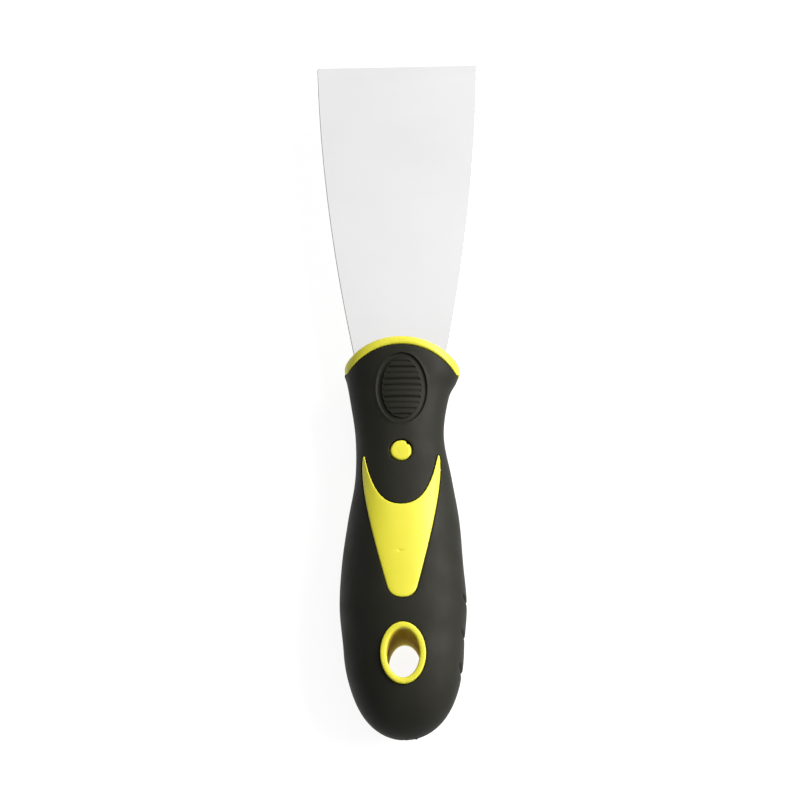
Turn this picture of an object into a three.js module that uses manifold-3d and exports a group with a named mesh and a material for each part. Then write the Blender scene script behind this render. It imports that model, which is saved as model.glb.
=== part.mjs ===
// A fixed-blade putty knife: a flared spring-steel blade whose tang is riveted between the two halves of a
// hard plastic core, with a soft grip moulded over the core.
//
// Millimetres. +X is across the blade, +Y runs towards the blade's edge, +Z is out of the front face.
// The knife is the same on both faces. The origin is at the middle of the length, under the lowest point.
// "Station" is a distance along the handle, measured from its butt end.

import * as THREE from 'three';
import { mergeVertices } from 'three/addons/utils/BufferGeometryUtils.js';
import Module from 'manifold-3d';

const wasm = await Module();
wasm.setup();

// ---- driving dimensions ----
const overallLength = 211.5;
const midHeight = 13.6; // height of the blade's middle plane
const gap = 0.3; // clearance between neighbouring pieces
const clearHeight = 20; // further from the middle plane than any surface

const bladeEdgeWidth = 50;
const bladeThickness = 1;
const bladeRootWidth = 27.6;
const bladeFlareLength = 94; // from the edge to the shoulder's start
const bladeFlareBow = 1.35; // how far the flare's control point lies inside the edge's corner
const bladeCorner = 0.7;
const grindLength = 3;
const grindEdgeThickness = 0.35;
const tangWidth = 15;
const tangEndStation = 64;
const tangEndTaper = 3; // length of the tang's narrowed end
const shoulderStation = 110;
const shoulderChamfer = 1.5;
const shoulderLength = 5;

const buttLength = 25; // length of the elliptical butt end
const formEndStation = 121;
const sectionPower = 2.2; // exponent of the handle's superellipse section
const gripWall = 2.8;

const gripEndStation = 116.9; // the grip's domed end, on the centre line
const gripEndRadius = 21.2;
const collarEndStation = 119.5;
const collarEndRadius = 25;
const collarOverhang = 0.3;

const ringStation = 23.2;
const ringHalfWidth = 6.55;
const ringHalfLength = 8.85;
const holeHalfWidth = 4.75;
const holeHalfLength = 7.05;
const ringRise = 0.75; // height of the ring above the grip
const panelRise = 0.35; // height of the swallow-tail panel above the grip
const panelCleftStation = 67.2;
const panelTipStation = 83.2;
const panelEndStation = 39.3;
const panelTipHalfWidth = 11.5;
const panelEndHalfWidth = 4.3;
const panelDepth = 5; // height above the middle plane where the raised parts start

const upperRivetStation = 103;
const lowerRivetStation = 84;
const rivetRadius = 2;
const rivetHeadRadius = 3.1;
const rivetHeadHeight = 1.2;
const upperRivetHalfLength = 6.9;
const lowerRivetHalfLength = 6;
const plugRadius = 3.1;
const plugTop = 10.6; // above the middle plane
const plugChamfer = 0.4;
const plugWindowGap = 0.45;

const padStation = 103.4;
const padHalfWidth = 7.6;
const padHalfLength = 11;
const padGrooveWidth = 0.6;
const padGrooveDepth = 0.45;
const ribFieldHalfWidth = 5.7;
const ribFieldHalfLength = 9.4;
const ribCount = 10;
const ribPitch = 1.8;
const ribGrooveWidth = 0.8;
const padLowest = 2; // height above the middle plane from which the skin's cutters rise

const notchStations = [40, 29.8, 19];
const notchWidth = 1.1;
const notchDepth = 0.7;
const notchReach = 5.2; // how far a notch runs up from the middle plane
const notchLean = 0.35; // radians that a notch leans towards the blade
const notchCutterWidth = 6;

const aroundSegments = 32;
const buttSteps = 5;
const bodySteps = 12;
const panelSegments = 12;
const plugSegments = 28;
const smallestHalf = 0.5; // keeps the shrunk form's first ring open

// Handle section along its length: how far it reaches to the left and right, and its half thickness.
// The grip swells a little to one side and then the other, to sit in a right hand.
const handleSections = [
  { left: 17.9, right: 18.6, station: 0, thickness: 12.2 },
  { left: 17.0, right: 17.4, station: 13, thickness: 12.3 },
  { left: 17.55, right: 17.5, station: 26, thickness: 12.6 },
  { left: 18.65, right: 18.55, station: 39, thickness: 13.1 },
  { left: 17.95, right: 17.7, station: 52, thickness: 13.15 },
  { left: 16.1, right: 16.8, station: 65, thickness: 12.5 },
  { left: 13.85, right: 14.75, station: 78, thickness: 11.2 },
  { left: 13.7, right: 12.65, station: 91, thickness: 10 },
  { left: 15.3, right: 14.35, station: 103, thickness: 9.9 },
  { left: 16.4, right: 17.45, station: 110, thickness: 10.3 },
  { left: 17.15, right: 17.25, station: 121, thickness: 10.4 },
];

const colours = { steel: 0xc9cbcc, plastic: 0xf5e21c, rubber: 0x1e1f1b, rivet: 0xa9abad };

// ---- helpers ----

function stationY(station) {
  return station - overallLength / 2;
}

// A closed three.js geometry as a solid that can be joined and cut.
function solid(geometry) {
  const bare = geometry.index ? geometry.clone() : geometry;
  bare.deleteAttribute('normal');
  bare.deleteAttribute('uv');
  const merged = mergeVertices(bare, 1e-4);
  const mesh = new wasm.Mesh({
    numProp: 3,
    vertProperties: new Float32Array(merged.attributes.position.array),
    triVerts: new Uint32Array(merged.index.array),
  });
  return new wasm.Manifold(mesh);
}

// Named mesh of a finished solid.
function piece(name, body, colour, roughness, metalness) {
  const result = body.getMesh();
  const geometry = new THREE.BufferGeometry();
  geometry.setAttribute('position', new THREE.BufferAttribute(result.vertProperties, 3));
  geometry.setIndex(new THREE.BufferAttribute(result.triVerts, 1));
  geometry.computeVertexNormals();
  const material = new THREE.MeshStandardMaterial({ color: colour, roughness, metalness });
  const mesh = new THREE.Mesh(geometry, material);
  mesh.name = name;
  return mesh;
}

// A plan outline, drawn in X and station, as a prism between two heights above the middle plane.
function planPrism(outline, low, high, segments = 12) {
  const geometry = new THREE.ExtrudeGeometry(outline, {
    depth: high - low,
    bevelEnabled: false,
    curveSegments: segments,
  });
  geometry.translate(0, stationY(0), midHeight + low);
  return solid(geometry);
}

function box(width, length, height) {
  return new THREE.BoxGeometry(width, length, height);
}

// A round bar along Z at a station on the centre line.
function bar(radius, station, low, high, segments = 24) {
  const geometry = new THREE.CylinderGeometry(radius, radius, high - low, segments);
  geometry.rotateX(Math.PI / 2);
  geometry.translate(0, stationY(station), midHeight + (low + high) / 2);
  return solid(geometry);
}

function ellipseOutline(station, halfWidth, halfLength) {
  const outline = new THREE.Shape();
  outline.absellipse(0, station, halfWidth, halfLength, 0, Math.PI * 2);
  return outline;
}

function mirrored(body) {
  const flipped = body.mirror([0, 0, 1]);
  return flipped.translate([0, 0, 2 * midHeight]);
}

function bothFaces(body) {
  return body.add(mirrored(body));
}

// ---- the handle's outer form ----

// A smooth curve through one measure of the handle's sections.
function sectionCurve(measure) {
  const points = handleSections.map((section) => new THREE.Vector3(section[measure], 0, 0));
  return new THREE.CatmullRomCurve3(points, false, 'catmullrom', 0.5);
}

const sectionCurves = {
  left: sectionCurve('left'),
  right: sectionCurve('right'),
  station: sectionCurve('station'),
  thickness: sectionCurve('thickness'),
};

function measureAt(measure, along) {
  return sectionCurves[measure].getPoint(along).x;
}

// Reach to the left and right and half thickness at a station, with the elliptical butt end.
function sectionAt(station) {
  let low = 0;
  let high = 1;
  for (let step = 0; step < 30; step += 1) {
    const middle = (low + high) / 2;
    if (measureAt('station', middle) < station) {
      low = middle;
    } else {
      high = middle;
    }
  }
  const beforeButt = Math.max(0, 1 - station / buttLength);
  const butt = Math.sqrt(Math.max(0, 1 - beforeButt * beforeButt));
  return {
    left: measureAt('left', low) * butt,
    right: measureAt('right', low) * butt,
    thickness: measureAt('thickness', low) * butt,
  };
}

// Stations of the form's rings: close together round the butt, then even steps.
function ringStations() {
  const stations = [];
  for (let step = 0; step <= buttSteps; step += 1) {
    const turn = (step / buttSteps) * (Math.PI / 2);
    stations.push(buttLength * (1 - Math.cos(turn)));
  }
  for (let step = 1; step <= bodySteps; step += 1) {
    stations.push(buttLength + ((formEndStation - buttLength) * step) / bodySteps);
  }
  stations.push(formEndStation);
  return stations;
}

function squared(value) {
  return Math.sign(value) * Math.abs(value) ** (2 / sectionPower);
}

// The whole handle as one closed form, grown outwards by a few tenths, or shrunk by a wall.
function handleForm(growth) {
  const stations = ringStations();
  const rings = stations.length - 1;
  const geometry = new THREE.SphereGeometry(1, aroundSegments, rings);
  const position = geometry.attributes.position;
  for (let vertex = 0; vertex < position.count; vertex += 1) {
    const ring = Math.floor(vertex / (aroundSegments + 1));
    const turn = ((vertex % (aroundSegments + 1)) / aroundSegments) * Math.PI * 2;
    const station = stations[rings - ring];
    const section = sectionAt(station);
    const buttShare = Math.max(0, 1 - station / buttLength);
    const isPole = ring === 0 || ring === rings;
    const across = -Math.cos(turn);
    const reach = across < 0 ? section.left : section.right;
    const width = isPole ? 0 : Math.max(smallestHalf, reach + growth);
    const thickness = isPole ? 0 : Math.max(smallestHalf, section.thickness + growth);
    position.setXYZ(
      vertex,
      width * squared(across),
      stationY(station - growth * buttShare),
      midHeight + thickness * squared(Math.sin(turn)),
    );
  }
  return solid(geometry);
}

// Everything on the butt's side of a domed end, so that a form can be cut to it.
function domedEnd(endStation, radius) {
  const side = 30;
  const beforeButt = -10;
  const centre = endStation - radius;
  const spread = 1.035; // radians of arc to either side of the middle
  const flank = centre + radius * Math.cos(spread) - 2;
  const outline = new THREE.Shape();
  outline.moveTo(-side, beforeButt);
  outline.lineTo(side, beforeButt);
  outline.lineTo(side, flank);
  outline.absarc(0, centre, radius, Math.PI / 2 - spread, Math.PI / 2 + spread, false);
  outline.lineTo(-side, flank);
  outline.closePath();
  return planPrism(outline, -clearHeight, clearHeight, 24);
}

// ---- shapes shared by neighbours ----

// The swallow-tail panel's right side, from its cleft round the tip to its lower end.
function panelRightSide(outline, growth) {
  const cleft = panelCleftStation + growth;
  const tip = panelTipStation + growth;
  const end = panelEndStation - growth;
  const tipHalf = panelTipHalfWidth + growth;
  const endHalf = panelEndHalfWidth + growth;
  const innerTip = panelTipHalfWidth - 0.75 - growth;
  outline.moveTo(0, cleft);
  outline.bezierCurveTo(5.2 - growth, cleft, 8.6 - growth, cleft + 4.1, innerTip, tip);
  outline.quadraticCurveTo(panelTipHalfWidth - 0.1, tip + 0.9, tipHalf, panelTipStation - 3.2);
  outline.bezierCurveTo(tipHalf + 0.1, panelTipStation - 13.2, endHalf + 3.2, end + 14.7, endHalf, end + 3.1);
  outline.quadraticCurveTo(endHalf - 1, end, 0, end);
}

// Plan of the swallow-tail panel, drawn with a growth for its window.
function panelOutline(growth) {
  const side = new THREE.Shape();
  panelRightSide(side, growth);
  const right = side.getPoints(panelSegments);
  const left = right.slice(1, -1).reverse();
  return new THREE.Shape([...right, ...left.map((point) => new THREE.Vector2(-point.x, point.y))]);
}

// Plan of the blade with its tang, from half the edge down one side and back up the other.
function bladeOutline(growth) {
  const outline = new THREE.Shape();
  const edge = overallLength;
  const halfEdge = bladeEdgeWidth / 2;
  const halfRoot = bladeRootWidth / 2 + growth;
  const halfTang = tangWidth / 2 + growth;
  const bendStation = edge - bladeFlareLength / 2;
  const bendHalf = halfEdge - bladeFlareBow + growth;
  const flareEnd = edge - bladeFlareLength;
  const corner = bladeCorner;
  const shoulder = shoulderStation - growth;
  const tangEnd = tangEndStation - growth;
  const taper = tangEndStation + tangEndTaper;
  outline.moveTo(-halfEdge + corner, edge);
  outline.lineTo(halfEdge - corner, edge);
  outline.quadraticCurveTo(halfEdge, edge, halfEdge, edge - corner);
  outline.quadraticCurveTo(bendHalf, bendStation, halfRoot, flareEnd);
  outline.lineTo(halfRoot - shoulderChamfer, shoulder);
  outline.lineTo(halfTang, shoulder - shoulderLength);
  outline.lineTo(halfTang - 1, taper);
  outline.lineTo(halfTang / 2, tangEnd);
  outline.lineTo(-halfTang / 2, tangEnd);
  outline.lineTo(-halfTang + 1, taper);
  outline.lineTo(-halfTang, shoulder - shoulderLength);
  outline.lineTo(-halfRoot + shoulderChamfer, shoulder);
  outline.lineTo(-halfRoot, flareEnd);
  outline.quadraticCurveTo(-bendHalf, bendStation, -halfEdge, edge - corner);
  outline.quadraticCurveTo(-halfEdge, edge, -halfEdge + corner, edge);
  return outline;
}

// ---- pieces ----

function makeBlade() {
  const half = bladeThickness / 2;
  let body = planPrism(bladeOutline(0), -half, half, 14);
  for (const station of [upperRivetStation, lowerRivetStation]) {
    body = body.subtract(bar(rivetRadius + gap, station, -bladeThickness, bladeThickness));
  }
  const edge = stationY(overallLength);
  const beyond = edge + 1;
  const wedge = new THREE.Shape();
  wedge.moveTo(edge - grindLength, half);
  wedge.lineTo(edge, grindEdgeThickness / 2);
  wedge.lineTo(beyond, grindEdgeThickness / 2);
  wedge.lineTo(beyond, bladeThickness);
  wedge.lineTo(edge - grindLength, bladeThickness);
  wedge.closePath();
  const cutWidth = bladeEdgeWidth * 1.2;
  const ground = new THREE.ExtrudeGeometry(wedge, { depth: cutWidth, bevelEnabled: false });
  ground.translate(0, 0, -cutWidth / 2);
  // The outline's axes become Y and Z, and the extrusion runs along X.
  ground.applyMatrix4(
    new THREE.Matrix4().makeBasis(
      new THREE.Vector3(0, 1, 0),
      new THREE.Vector3(0, 0, 1),
      new THREE.Vector3(1, 0, 0),
    ),
  );
  ground.translate(0, 0, midHeight);
  body = body.subtract(bothFaces(solid(ground)));
  return piece('blade', body, colours.steel, 0.25, 1);
}

function makeRivet(name, station, halfLength) {
  const shank = bar(rivetRadius, station, -halfLength, halfLength);
  const head = bar(rivetHeadRadius, station, halfLength - rivetHeadHeight, halfLength);
  return piece(name, shank.add(bothFaces(head)), colours.rivet, 0.35, 1);
}

function makePlug(name, isFront) {
  const low = lowerRivetHalfLength + gap;
  const shaft = bar(plugRadius, lowerRivetStation, low, plugTop - plugChamfer, plugSegments);
  const crown = new THREE.CylinderGeometry(plugRadius - plugChamfer, plugRadius, plugChamfer, plugSegments);
  crown.rotateX(Math.PI / 2);
  crown.translate(0, stationY(lowerRivetStation), midHeight + plugTop - plugChamfer / 2);
  const front = shaft.add(solid(crown));
  return piece(name, isFront ? front : mirrored(front), colours.plastic, 0.35, 0);
}

// Space taken out of the core for the blade, the rivets and the plugs.
function coreHollows() {
  const pocketHalf = bladeThickness / 2 + gap;
  let hollow = planPrism(bladeOutline(gap), -pocketHalf, pocketHalf, 14);
  for (const [station, halfLength] of [
    [upperRivetStation, upperRivetHalfLength],
    [lowerRivetStation, lowerRivetHalfLength],
  ]) {
    hollow = hollow.add(bar(rivetRadius + gap, station, -halfLength, halfLength));
    const headSeat = halfLength - rivetHeadHeight - gap;
    hollow = hollow.add(bothFaces(bar(rivetHeadRadius + gap, station, headSeat, clearHeight)));
  }
  const hole = ellipseOutline(ringStation, holeHalfWidth, holeHalfLength);
  return hollow.add(planPrism(hole, -clearHeight, clearHeight, 12));
}

function makeCore(name, isFront) {
  const end = domedEnd(collarEndStation, collarEndRadius);
  const hub = handleForm(-gripWall).intersect(domedEnd(gripEndStation, gripEndRadius));
  const collar = handleForm(collarOverhang).intersect(end);
  const flange = collar.subtract(domedEnd(gripEndStation + gap, gripEndRadius + gap));
  const neck = handleForm(-gripWall).intersect(end);
  const panel = planPrism(panelOutline(0), panelDepth, clearHeight).intersect(handleForm(panelRise));
  const ringPlan = ellipseOutline(ringStation, ringHalfWidth, ringHalfLength);
  const ring = planPrism(ringPlan, panelDepth, clearHeight, 12).intersect(handleForm(ringRise));
  const whole = hub.add(neck).add(flange).add(bothFaces(panel.add(ring))).subtract(coreHollows());
  const half = box(2 * bladeEdgeWidth, 2 * overallLength, clearHeight);
  half.translate(0, 0, midHeight + (gap + clearHeight) / 2);
  const cutter = solid(half);
  const body = whole.intersect(isFront ? cutter : mirrored(cutter));
  return piece(name, body, colours.plastic, 0.35, 0);
}

// Oval groove and ribbed field of the thumb pad, as the material taken out of the grip's skin.
function padGrooves() {
  const outerPlan = ellipseOutline(padStation, padHalfWidth, padHalfLength);
  const outer = planPrism(outerPlan, padLowest, clearHeight, 10);
  const innerWidth = padHalfWidth - padGrooveWidth;
  const innerLength = padHalfLength - padGrooveWidth;
  const innerPlan = ellipseOutline(padStation, innerWidth, innerLength);
  const fieldPlan = ellipseOutline(padStation, ribFieldHalfWidth, ribFieldHalfLength);
  const field = planPrism(fieldPlan, padLowest, clearHeight, 6);
  let grooves = outer.subtract(planPrism(innerPlan, 0, 2 * clearHeight, 10));
  for (let rib = 0; rib < ribCount; rib += 1) {
    const groove = box(4 * padHalfWidth, ribGrooveWidth, clearHeight);
    const station = padStation + (rib - (ribCount - 1) / 2) * ribPitch;
    groove.translate(0, stationY(station), midHeight + padLowest + clearHeight / 2);
    grooves = grooves.add(solid(groove).intersect(field));
  }
  return bothFaces(grooves.subtract(handleForm(-padGrooveDepth)));
}

// Three short finger notches across the right-hand side.
function sideNotches() {
  let notches = null;
  for (const station of notchStations) {
    const cut = box(notchCutterWidth, notchWidth, notchReach * 2);
    cut.rotateX(-notchLean);
    cut.translate(sectionAt(station).right, stationY(station), midHeight);
    const body = solid(cut);
    notches = notches ? notches.add(body) : body;
  }
  return notches.subtract(handleForm(-notchDepth));
}

function makeGrip() {
  const outside = handleForm(0).intersect(domedEnd(gripEndStation, gripEndRadius));
  const ringWindow = ellipseOutline(ringStation, ringHalfWidth + gap, ringHalfLength + gap);
  const windows = planPrism(panelOutline(gap), padLowest, clearHeight)
    .add(planPrism(ringWindow, padLowest, clearHeight, 12))
    .add(bar(plugRadius + plugWindowGap, lowerRivetStation, padLowest, clearHeight, plugSegments));
  const body = outside
    .subtract(handleForm(-gripWall + gap))
    .subtract(bothFaces(windows))
    .subtract(padGrooves())
    .subtract(sideNotches());
  return piece('grip', body, colours.rubber, 0.7, 0);
}

const puttyKnife = new THREE.Group();
puttyKnife.add(
  makeBlade(),
  makeCore('core_front', true),
  makeCore('core_rear', false),
  makeRivet('tang_rivet_upper', upperRivetStation, upperRivetHalfLength),
  makeRivet('tang_rivet_lower', lowerRivetStation, lowerRivetHalfLength),
  makePlug('rivet_plug_front', true),
  makePlug('rivet_plug_rear', false),
  makeGrip(),
);

export default puttyKnife;
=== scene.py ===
"""A putty knife: steel blade, hard plastic core in two shells, soft over-moulded grip.

Shapes are worked out in millimetres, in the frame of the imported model, and written to the meshes in
metres. "Station" is a distance along the handle from its butt end, and "height" is measured from the
blade's middle plane. The handle's surface is a loft of superellipses. A point on it has two coordinates,
u round the section and v along the handle, and a growth that lifts it off the surface, or sinks it when
it is negative. The front half is built, and mirrored to the back.
"""

import math

import bmesh
import bpy
import numpy as np
from mathutils import Matrix, Vector
from mathutils.geometry import delaunay_2d_cdt


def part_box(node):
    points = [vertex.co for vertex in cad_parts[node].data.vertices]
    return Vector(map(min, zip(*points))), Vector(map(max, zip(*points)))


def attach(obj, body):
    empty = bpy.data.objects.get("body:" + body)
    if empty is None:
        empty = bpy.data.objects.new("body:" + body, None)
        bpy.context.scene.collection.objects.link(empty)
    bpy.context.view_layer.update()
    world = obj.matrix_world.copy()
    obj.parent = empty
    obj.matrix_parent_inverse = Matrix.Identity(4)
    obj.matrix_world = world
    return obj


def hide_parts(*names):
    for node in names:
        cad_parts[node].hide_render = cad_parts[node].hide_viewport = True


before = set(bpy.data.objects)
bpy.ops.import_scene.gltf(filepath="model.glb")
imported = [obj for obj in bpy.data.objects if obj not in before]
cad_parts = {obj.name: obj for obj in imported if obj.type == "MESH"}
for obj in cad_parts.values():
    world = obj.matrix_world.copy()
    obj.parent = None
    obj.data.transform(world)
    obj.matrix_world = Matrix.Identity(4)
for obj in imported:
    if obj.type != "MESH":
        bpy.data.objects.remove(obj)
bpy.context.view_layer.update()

MM = 0.001
blade_low, blade_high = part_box("blade")
grip_low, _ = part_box("grip")
BUTT_Y = grip_low[1] / MM
EDGE_STATION = blade_high[1] / MM - BUTT_Y
MID = (blade_low[2] + blade_high[2]) / 2 / MM

# ---- the handle's form ----
# The butt is rounded off over its length, and every section is a superellipse of the same squareness.
# U_SCALE makes u about as long as the millimetres round the section. v is a station, except on the butt.
BUTT_LENGTH = 25.0
SQUARENESS = 2.2
POWER = 2 / SQUARENESS
U_SCALE = 14.0
U_MAX = math.pi * U_SCALE
# (reach to the left, reach to the right, station, half thickness)
SECTIONS = [
    (17.9, 18.6, 0, 12.2),
    (17.0, 17.4, 13, 12.3),
    (17.55, 17.5, 26, 12.6),
    (18.65, 18.55, 39, 13.1),
    (17.95, 17.7, 52, 13.15),
    (16.1, 16.8, 65, 12.5),
    (13.85, 14.75, 78, 11.2),
    (13.7, 12.65, 91, 10.0),
    (15.3, 14.35, 103, 9.9),
    (16.4, 17.45, 110, 10.3),
    (17.15, 17.25, 121, 10.4),
]

# The grip is a wall round the core, with a gap between them. It ends in a domed line, and the collar in a
# flatter one just beyond it.
GRIP_WALL = 2.8
WALL_GAP = 0.15
GRIP_END, GRIP_END_RADIUS, EAR_RISE = 116.9, 21.2, 1.3
COLLAR_END, COLLAR_END_RADIUS = 119.5, 25.0
COLLAR_OVERHANG = 0.3

# RING_OUTER, RING_INNER and PAD_AXES are half axes across and along the handle.
RING_STATION = 23.2
RING_OUTER = (6.55, 8.85)
RING_INNER = (4.75, 7.05)
RING_RISE = 0.75
PANEL_RISE = 0.35
# The moulding's gate leaves a small pit in the panel.
GATE, GATE_RADII, GATE_DEPTH = (-0.6, 53.0), (0.12, 0.24, 0.36, 0.5, 0.65), 0.16
DOT_STATION = 84.0
DOT_RADIUS = 3.1
PAD_X, PAD_STATION = 0.4, 103.4
PAD_AXES = (7.6, 11.0)
RIB_COUNT, RIB_PITCH, RIB_WIDTH, RIB_DEPTH = 10, 1.82, 0.85, 0.4
NOTCH_STATIONS = (39.4, 29.0, 18.3)
# The collar and the hidden body of each core shell stop this short of the middle plane.
SEAM_GAP = 0.03
BUTT_POLE = np.array([(0.0, 0.0), (U_MAX / 2, 0.0), (U_MAX, 0.0)])


def section_table():
    """The loft's reaches and half thickness against station, from a Catmull-Rom curve."""
    points = np.array(SECTIONS)
    first = 2 * points[0] - points[1]
    last = 2 * points[-1] - points[-2]
    full = np.vstack([first, points, last])
    steps = 40
    rows = []
    for index in range(len(points) - 1):
        before, start, end, after = full[index : index + 4]
        slope_in, slope_out = (end - before) / 2, (after - start) / 2
        for t in np.linspace(0, 1, steps, endpoint=False):
            rows.append(
                (2 * t**3 - 3 * t**2 + 1) * start
                + (t**3 - 2 * t**2 + t) * slope_in
                + (3 * t**2 - 2 * t**3) * end
                + (t**3 - t**2) * slope_out
            )
    rows.append(points[-1])
    return np.array(rows)


TABLE = section_table()


def half_sizes(v, growth):
    """Station, reach to the left and to the right, half thickness, and the butt's turn at v."""
    v = np.asarray(v, float)
    turn = np.clip(v / BUTT_LENGTH, 0, 1) * math.pi / 2
    station = np.where(v < BUTT_LENGTH, BUTT_LENGTH * (1 - np.cos(turn)), v)
    left, right, thickness = (np.interp(station, TABLE[:, 2], TABLE[:, i]) + growth for i in (0, 1, 3))
    round_off = np.sin(turn)
    return station, left * round_off, right * round_off, thickness * round_off, turn


def form_points(u, v, growth):
    """Points on the front of the handle, as rows of x, y, z."""
    u, growth = np.asarray(u, float), np.asarray(growth, float)
    station, left, right, thickness, turn = half_sizes(v, growth)
    across, up = np.cos(u / U_SCALE), np.sin(u / U_SCALE)
    x = np.where(across < 0, left, right) * np.sign(across) * np.abs(across) ** POWER
    z = thickness * np.clip(up, 0, 1) ** POWER
    y = BUTT_Y + station - growth * np.cos(turn)
    return np.stack(np.broadcast_arrays(x, y, MID + z), -1)


def plan_to_uv(plan, growth):
    """Surface coordinates of points given in plan, as rows of x and station."""
    plan = np.asarray(plan, float)
    x, station = plan[:, 0], plan[:, 1]
    turn = np.arccos(np.clip((BUTT_LENGTH - station) / (BUTT_LENGTH + growth), 0, 1))
    v = np.where(station < BUTT_LENGTH, turn * BUTT_LENGTH / (math.pi / 2), station)
    _, left, right, _, _ = half_sizes(v, growth)
    ratio = np.clip(x / np.where(x < 0, left, right), -1, 1)
    theta = np.arccos(np.sign(ratio) * np.abs(ratio) ** (1 / POWER))
    return np.stack([theta * U_SCALE, v], -1)


def form_height(plan, growth=0.0):
    """Height of the front surface over points in plan."""
    uv = plan_to_uv(plan, growth)
    return form_points(uv[:, 0], uv[:, 1], growth)[:, 2] - MID


def on_form(plan, growth):
    """Points of the front surface, lifted by a growth, over points in plan."""
    uv = plan_to_uv(plan, growth)
    return form_points(uv[:, 0], uv[:, 1], growth)


def dome_station(x, end, radius):
    """Station of a domed end at a distance from the centre line."""
    return end - radius + np.sqrt(np.maximum(radius**2 - np.asarray(x, float) ** 2, 0))


def end_row(u, growth, end, radius, back=0.0, rise=0.0):
    """v of a domed end along a row of u, moved back by a distance, and risen where it meets the seams."""
    seam_width, rounds = 2.4, 8
    v = np.full(len(u), 110.0)  # a first guess, close to every domed end
    for _ in range(rounds):
        x = form_points(u, v, growth)[:, 0]
        v = dome_station(x, end, radius)
    near_seam = np.exp(-((u / seam_width) ** 2)) + np.exp(-(((U_MAX - u) / seam_width) ** 2))
    return v - back + rise * near_seam


# ---- outlines, as rows of x and station, anticlockwise ----


def bezier(*controls, count):
    """A quadratic or cubic curve without its last point."""
    points = [np.array(c, float) for c in controls]
    t = np.linspace(0, 1, count, endpoint=False)[:, None]
    if len(points) == 3:
        return (1 - t) ** 2 * points[0] + 2 * (1 - t) * t * points[1] + t**2 * points[2]
    a, b, c, d = points
    return (1 - t) ** 3 * a + 3 * (1 - t) ** 2 * t * b + 3 * (1 - t) * t**2 * c + t**3 * d


def panel_outline():
    """The swallow-tail panel: a blunt foot, flanks that flare to two horns, and a bay between the horns."""
    foot, heel, bay = (0, 39.3), (4.3, 42.4), (0, 67.2)
    horn_side, horn_tip = (11.5, 80), (10.75, 82.9)
    foot_pull, horn_pull = (3.3, foot[1]), (horn_side[0], 84.2)
    flank_pulls, bay_pulls = ((7.5, 54), (11.6, 70)), ((8.6, 71.3), (5.2, bay[1]))
    side = np.vstack(
        [
            bezier(foot, foot_pull, heel, count=10),
            bezier(heel, *flank_pulls, horn_side, count=64),
            bezier(horn_side, horn_pull, horn_tip, count=9),
            bezier(horn_tip, *bay_pulls, bay, count=44),
            [bay],
        ]
    )
    left = side[1:-1][::-1] * (-1, 1)
    return np.vstack([side, left])


def ellipse(station, axes, count, grow=0.0):
    """An ellipse on the centre line, with both its axes grown by the same distance."""
    turn = np.linspace(0, 2 * math.pi, count, endpoint=False)
    x = (axes[0] + grow) * np.cos(turn)
    return np.stack([x, station + (axes[1] + grow) * np.sin(turn)], -1)


def outward(loop):
    """Unit normals of an anticlockwise loop."""
    along = np.roll(loop, -1, 0) - np.roll(loop, 1, 0)
    normal = np.stack([along[:, 1], -along[:, 0]], -1)
    return normal / np.linalg.norm(normal, axis=1)[:, None]


def room_inside(loop):
    """How far each point of a loop can move inwards before it meets the other side."""
    normal = -outward(loop)
    after = np.roll(loop, -1, 0)
    edge = after - loop
    endless, tiny, near = 1e3, 1e-9, 1e-3
    room = np.full(len(loop), endless)
    for index, (point, way) in enumerate(zip(loop, normal)):
        across = way[0] * edge[:, 1] - way[1] * edge[:, 0]
        across = np.where(np.abs(across) < tiny, tiny, across)
        offset = loop - point
        reach = (offset[:, 0] * edge[:, 1] - offset[:, 1] * edge[:, 0]) / across
        share = (offset[:, 0] * way[1] - offset[:, 1] * way[0]) / across
        hits = (reach > near) & (share >= 0) & (share <= 1)
        hits[[index, index - 1]] = False
        if hits.any():
            room[index] = reach[hits].min()
    return room


def inset(loop, distance, room):
    """The loop moved inwards, by less where there is little room."""
    share_of_room = 0.3
    return loop - outward(loop) * np.minimum(distance, share_of_room * room)[:, None]


def grown(loop, distance):
    """The loop moved outwards."""
    return loop + outward(loop) * distance


# ---- mesh helpers ----


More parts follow.
